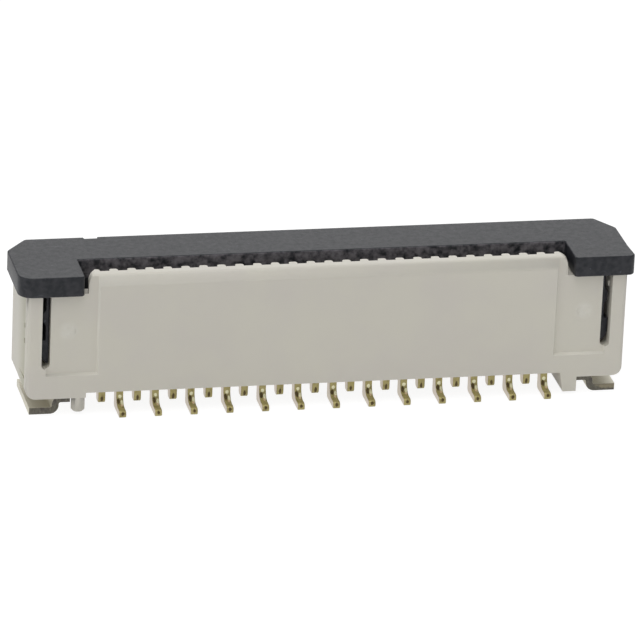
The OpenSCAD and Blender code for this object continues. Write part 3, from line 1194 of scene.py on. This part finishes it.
@dataclass
class ContactRow:
    """The forks: two blanked shapes, with the tail in front or behind, repeated along the row."""

    foot: float = 0.19
    leg: float = 0.34
    tail_curve: float = 0.28
    stub_low: float = 0.23
    base_low: float = 0.4
    base_top: float = 1.07
    base_half: float = 1.0
    corner: float = 0.12
    front_arm: float = -0.857
    rear_arm: float = 0.42
    rear_drop: float = 0.42
    touch_z: float = 2.77
    touch_y: float = -0.39
    rollover: float = 0.02
    play: float = 0.003
    seed: int = 7
    nodes: list[str] = field(
        default_factory=lambda: sorted(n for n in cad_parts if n.startswith("contact_"))
    )

    def _outline(self, tail_in_front: bool) -> list[Point]:
        """Side view of a fork.

        Args:
            tail_in_front: whether the tail is at the front.

        Returns:
            The outline in Y and Z.
        """
        low, high = node_box(self.nodes[1])
        tip, front, top = -low.y, -self.base_half, high.z
        arm, rear_top = self.touch_y - 0.12, top - self.rear_drop
        ends: list[list[Corner]] = []
        for has_tail in (tail_in_front, not tail_in_front):
            if has_tail:
                end = [
                    (front, self.foot, self.tail_curve), (-tip, self.foot, 0.09), (-tip, 0.0, 0.06),
                    (front + self.leg, 0.0, self.corner),
                ]
            else:
                end = [(y, self.stub_low, self.corner) for y in (front, front + self.leg)]
            ends.append([*end, (front + self.leg, self.base_low, 0.04)])
        fork: list[Corner] = [
            (-front, self.base_top, 0.03), (self.rear_arm + 0.235, self.base_top, 0.03),
            (self.rear_arm + 0.14, rear_top, 0.04), (self.rear_arm + 0.05, rear_top, 0.03),
            (self.rear_arm, rear_top - 0.1, 0.05), (self.rear_arm, self.base_top, 0.1),
            (self.front_arm + 0.24, self.base_top, 0.1), (arm + 0.008, self.touch_z - 0.22, 0.12),
            (self.touch_y + 0.012, self.touch_z, 0.1), (arm, self.touch_z + 0.22, 0.12),
            (arm, top - 0.12, 0.06), (arm - 0.05, top, 0.03), (arm - 0.13, top, 0.03),
            (arm - 0.13, self.touch_z, 0.3), (self.front_arm, self.base_top, 0.05),
            (front, self.base_top, 0.03),
        ]
        rear = [(-y, z, r) for y, z, r in reversed(ends[1])]
        return rounded_outline([*ends[0], *rear, *fork])

    def _blank(self, name: str, tail_in_front: bool) -> bpy.types.Object:
        """One fork in the middle of the row.

        Args:
            name: the object's name.
            tail_in_front: whether the tail is at the front.

        Returns:
            The object.
        """
        low, high = node_box(self.nodes[0])
        half = (high.x - low.x) / 2
        solid = Solid.from_outline(self._outline(tail_in_front), -half, half, Axis.ALONG_ROW)
        solid.soften(self.rollover, 2, rim_edges(Axis.ALONG_ROW))
        return solid.piece(name, 40)

    def _row_tree(self) -> Tree:
        """Geometry Nodes that set the two forks alternately along the row."""
        tree = bpy.data.node_groups.new("Contact row", "GeometryNodeTree")
        face = tree.interface
        face.new_socket(name="Geometry", in_out="INPUT", socket_type="NodeSocketGeometry")
        kinds = {
            "Count": "Int", "First X": "Float", "Pitch": "Float", "Play": "Float", "Seed": "Int",
            "Rear Fork": "Object", "Front Fork": "Object", "Plating": "Material",
        }
        for label, kind in kinds.items():
            face.new_socket(name=label, in_out="INPUT", socket_type=f"NodeSocket{kind}")
        face.new_socket(name="Geometry", in_out="OUTPUT", socket_type="NodeSocketGeometry")
        graph = Graph(tree)
        given, sink = graph.add("NodeGroupInput").outputs, graph.add("NodeGroupOutput")
        line = graph.add("GeometryNodeMeshLine")
        graph.link(given["Count"], line.inputs["Count"])
        for label, target in (("First X", "Start Location"), ("Pitch", "Offset")):
            along = graph.add("ShaderNodeCombineXYZ")
            graph.link(given[label], along.inputs["X"])
            graph.link(along.outputs[0], line.inputs[target])
        shift, play = graph.add("FunctionNodeRandomValue"), graph.add("ShaderNodeCombineXYZ")
        graph.link(graph.math("MULTIPLY", given["Play"], -1.0), shift.inputs[2])
        graph.link(given["Play"], shift.inputs[3])
        graph.link(given["Seed"], shift.inputs["Seed"])
        graph.link(shift.outputs[1], play.inputs["X"])
        nudge = graph.add("GeometryNodeSetPosition")
        graph.link(line.outputs[0], nudge.inputs["Geometry"])
        graph.link(play.outputs[0], nudge.inputs["Offset"])
        odd = graph.math("MODULO", graph.add("GeometryNodeInputIndex").outputs[0], 2.0)
        even = graph.math("SUBTRACT", 1.0, odd)
        join = graph.add("GeometryNodeJoinGeometry")
        for label, chosen in (("Rear Fork", even), ("Front Fork", odd)):
            fork = graph.add("GeometryNodeObjectInfo")
            spread = graph.add("GeometryNodeInstanceOnPoints")
            graph.link(given[label], fork.inputs["Object"])
            graph.link(nudge.outputs[0], spread.inputs["Points"])
            graph.link(chosen, spread.inputs["Selection"])
            graph.link(fork.outputs["Geometry"], spread.inputs["Instance"])
            graph.link(spread.outputs[0], join.inputs[0])
        real = graph.add("GeometryNodeRealizeInstances")
        paint = graph.add("GeometryNodeSetMaterial")
        graph.link(join.outputs[0], real.inputs[0])
        graph.link(real.outputs[0], paint.inputs["Geometry"])
        graph.link(given["Plating"], paint.inputs["Material"])
        graph.link(paint.outputs[0], sink.inputs[0])
        return tree

    def build(self, palette: Palette) -> None:
        """Makes and dresses the row."""
        first, last = (
            sum(corner.x for corner in node_box(node)) / 2
            for node in (self.nodes[0], self.nodes[-1])
        )
        forks = [self._blank("rear_fork", False), self._blank("front_fork", True)]
        holder = bpy.data.objects.new("row_holder", bpy.data.meshes.new("row_holder"))
        bpy.context.collection.objects.link(holder)
        tree = self._row_tree()
        modifier = holder.modifiers.new("row", "NODES")
        modifier.node_group = tree
        values = {
            "Count": len(self.nodes), "First X": first * MM, "Play": self.play * MM,
            "Seed": self.seed,
            "Pitch": (last - first) / (len(self.nodes) - 1) * MM,
            "Rear Fork": forks[0], "Front Fork": forks[1], "Plating": palette.gold,
        }
        for item in tree.interface.items_tree:
            if item.in_out == "INPUT" and item.name in values:
                modifier[item.identifier] = values[item.name]
        graph = bpy.context.evaluated_depsgraph_get()
        mesh = bpy.data.meshes.new_from_object(holder.evaluated_get(graph))
        piece = bpy.data.objects.new("contact_row", mesh)
        bpy.context.collection.objects.link(piece)
        for spare in (holder, *forks):
            bpy.data.objects.remove(spare)
        dress(piece, palette.gold, Body.HOUSING, "contact_metal", *self.nodes)


@dataclass
class SolderTab:
    """A bent tab that is soldered to the board, with its barbed blade in the housing."""

    node: str
    sheet: float = 0.2
    bend: float = 0.15
    blade_half: float = 0.59
    blade_low: float = 0.45
    blade_draw: float = 0.1
    barb: float = 0.6
    barb_out: float = 0.06
    barb_height: float = 0.25
    run_top: float = 0.53
    bend_reach: float = 0.41
    edge: float = 0.02

    def _strip(self, inner: float, outer: float, depth: float) -> Solid:
        """The foot, the S-bend and the flat run under the housing.

        Args:
            inner: where the flat run starts along the row.
            outer: where the foot ends along the row.
            depth: half of the strip's width.

        Returns:
            The strip.
        """
        half = self.sheet / 2
        rise, bend = self.run_top - half, inner + self.bend_reach
        path = [
            (inner, rise, 0.0), (bend, rise, self.bend), (bend, half, self.bend),
            (outer, half, 0.0),
        ]
        outline = sheet_outline(path, self.sheet)
        solid = Solid.from_outline(outline, -depth, depth, Axis.FRONT_TO_REAR)
        return solid.soften(self.edge, 2, rim_edges(Axis.FRONT_TO_REAR))

    def _blade(self, inner: float, top: float) -> Solid:
        """The blade, with a barb on each edge.

        Args:
            inner: the blade's inner face along the row.
            top: the blade's upper end.

        Returns:
            The blade.
        """
        half, barb = self.blade_half, top - self.barb
        side = [
            (half, self.blade_low, 0.0), (half, barb, 0.02), (half + self.barb_out, barb, 0.01),
            (half, barb + self.barb_height, 0.05), (half - self.blade_draw, top, 0.05),
        ]
        corners = [*side, *((-y, z, r) for y, z, r in reversed(side))]
        points = rounded_outline(corners)
        solid = Solid.from_outline(points, inner, inner + self.sheet, Axis.ALONG_ROW)
        return solid.soften(self.edge, 2, rim_edges(Axis.ALONG_ROW))

    def build(self, palette: Palette) -> None:
        """Makes and dresses the tab."""
        low, high = node_box(self.node)
        left = high.x < 0
        inner, outer = (-high.x, -low.x) if left else (low.x, high.x)
        solid = self._strip(inner, outer, high.y).combined(self._blade(inner, high.z), "UNION")
        if left:
            bmesh.ops.scale(solid.mesh, vec=Vector((-1, 1, 1)), verts=solid.mesh.verts)
            bmesh.ops.reverse_faces(solid.mesh, faces=solid.mesh.faces)
        piece = solid.piece(self.node.replace("nail", "solder_tab"), 35)
        dress(piece, palette.tin, Body.HOUSING, "tab_metal", self.node)


# ---------------------------------------------------------------------------------------------
# Studio
# ---------------------------------------------------------------------------------------------


@dataclass(frozen=True)
class Lamp:
    """A square soft lamp that faces the object; its place and its side are in millimetres."""

    name: str
    spot: Corner
    side: float
    radiance: float

    def hang(self) -> None:
        """Adds the lamp to the scene."""
        spot = Vector(self.spot)
        data = bpy.data.lights.new(self.name, "AREA")
        data.size = self.side * MM
        data.energy = self.radiance * math.pi * (self.side * MM) ** 2
        lamp = bpy.data.objects.new(self.name, data)
        lamp.location = spot * MM
        lamp.rotation_euler = (-spot).to_track_quat("-Z", "Y").to_euler()
        bpy.context.collection.objects.link(lamp)


LAMPS = (
    Lamp("top_lamp", (-80, -80, 420), 360, 1.95),
    Lamp("back_lamp", (60, 420, 200), 380, 1.05),
    Lamp("left_lamp", (-420, -240, 160), 240, 0.8),
    Lamp("front_lamp", (-70, -420, 80), 90, 3.3),
)


@dataclass
class Studio:
    """The camera, the floor and the soft light."""

    yaw: float = math.radians(12.6)
    elevation: float = math.radians(22.18)
    roll: float = math.radians(2.5)
    distance: float = 178.0
    focus: Vector = field(default_factory=lambda: Vector((0.0, 0.1, 2.1)))
    shift: tuple[float, float] = (-0.032, 0.101)
    lens: float = 361.125
    sensor: float = 36.0
    clip: tuple[float, float] = (0.02, 10.0)
    floor_side: float = 1200.0
    floor_bounce: float = 0.8
    floor_shade: float = 0.2
    floor_glow: float = 0.9
    surroundings: float = 0.42

    def place_camera(self) -> None:
        """Sets the camera at its distance, turned and tilted towards the object."""
        right = Vector((math.cos(self.yaw), -math.sin(self.yaw), 0.0))
        ahead = Vector((
            math.sin(self.yaw) * math.cos(self.elevation),
            math.cos(self.yaw) * math.cos(self.elevation),
            -math.sin(self.elevation),
        ))
        up = right.cross(ahead)
        rolled_right = math.cos(self.roll) * right + math.sin(self.roll) * up
        rolled_up = math.cos(self.roll) * up - math.sin(self.roll) * right
        spot = self.focus - self.distance * ahead
        spot = spot - self.shift[0] * rolled_right - self.shift[1] * rolled_up
        data = bpy.data.cameras.new("camera")
        data.sensor_width = self.sensor
        data.lens = self.lens
        data.clip_start, data.clip_end = self.clip
        camera = bpy.data.objects.new("camera", data)
        turn = Matrix((rolled_right, rolled_up, -ahead)).transposed()
        camera.matrix_world = Matrix.Translation(spot * MM) @ turn.to_4x4()
        bpy.context.collection.objects.link(camera)
        bpy.context.scene.camera = camera

    def lay_floor(self) -> None:
        """Lays a pale floor that the camera sees as white and that keeps a soft shadow."""
        half = self.floor_side / 2 * MM
        data = bpy.data.meshes.new("floor")
        corners = [(-half, -half, 0), (half, -half, 0), (half, half, 0), (-half, half, 0)]
        data.from_pydata(corners, [], [(0, 1, 2, 3)])
        material = bpy.data.materials.new("floor")
        material.use_nodes = True
        graph = Graph(material.node_tree)
        material.node_tree.nodes.clear()
        seen = graph.add("ShaderNodeLightPath")
        paint, faint = (
            graph.add("ShaderNodeBsdfDiffuse", Color=(grey, grey, grey, 1.0))
            for grey in (self.floor_bounce, self.floor_shade)
        )
        glow = graph.add("ShaderNodeEmission", Color=WHITE, Strength=self.floor_glow)
        both, pick = graph.add("ShaderNodeAddShader"), graph.add("ShaderNodeMixShader")
        graph.link(faint.outputs[0], both.inputs[0])
        graph.link(glow.outputs[0], both.inputs[1])
        direct = graph.math("MAXIMUM", seen.outputs["Is Camera Ray"], seen.outputs["Is Glossy Ray"])
        graph.link(direct, pick.inputs[0])
        graph.link(paint.outputs[0], pick.inputs[1])
        graph.link(both.outputs[0], pick.inputs[2])
        graph.link(pick.outputs[0], graph.add("ShaderNodeOutputMaterial").inputs["Surface"])
        data.materials.append(material)
        floor = bpy.data.objects.new("floor", data)
        bpy.context.collection.objects.link(floor)

    def light(self) -> None:
        """Lights the object from above, behind, the left and the front, and a little all round."""
        for lamp in LAMPS:
            lamp.hang()
        world = bpy.data.worlds.new("surroundings")
        world.use_nodes = True
        backdrop = world.node_tree.nodes["Background"]
        backdrop.inputs["Color"].default_value = WHITE
        backdrop.inputs["Strength"].default_value = self.surroundings
        bpy.context.scene.world = world

    def build(self) -> None:
        """Sets up the camera, the floor and the lamps."""
        self.place_camera()
        self.lay_floor()
        self.light()
        bpy.context.scene.view_settings.view_transform = "Standard"


def main() -> None:
    """Builds the scene."""
    logging.basicConfig(level=logging.INFO, format="%(name)s %(message)s")
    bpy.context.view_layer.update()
    Studio().build()
    palette = Palette.build()
    Housing().build(palette)
    LockBar().build(palette)
    ContactRow().build(palette)
    for node in ("nail_left", "nail_right"):
        SolderTab(node).build(palette)


if __name__ == "__main__":
    main()
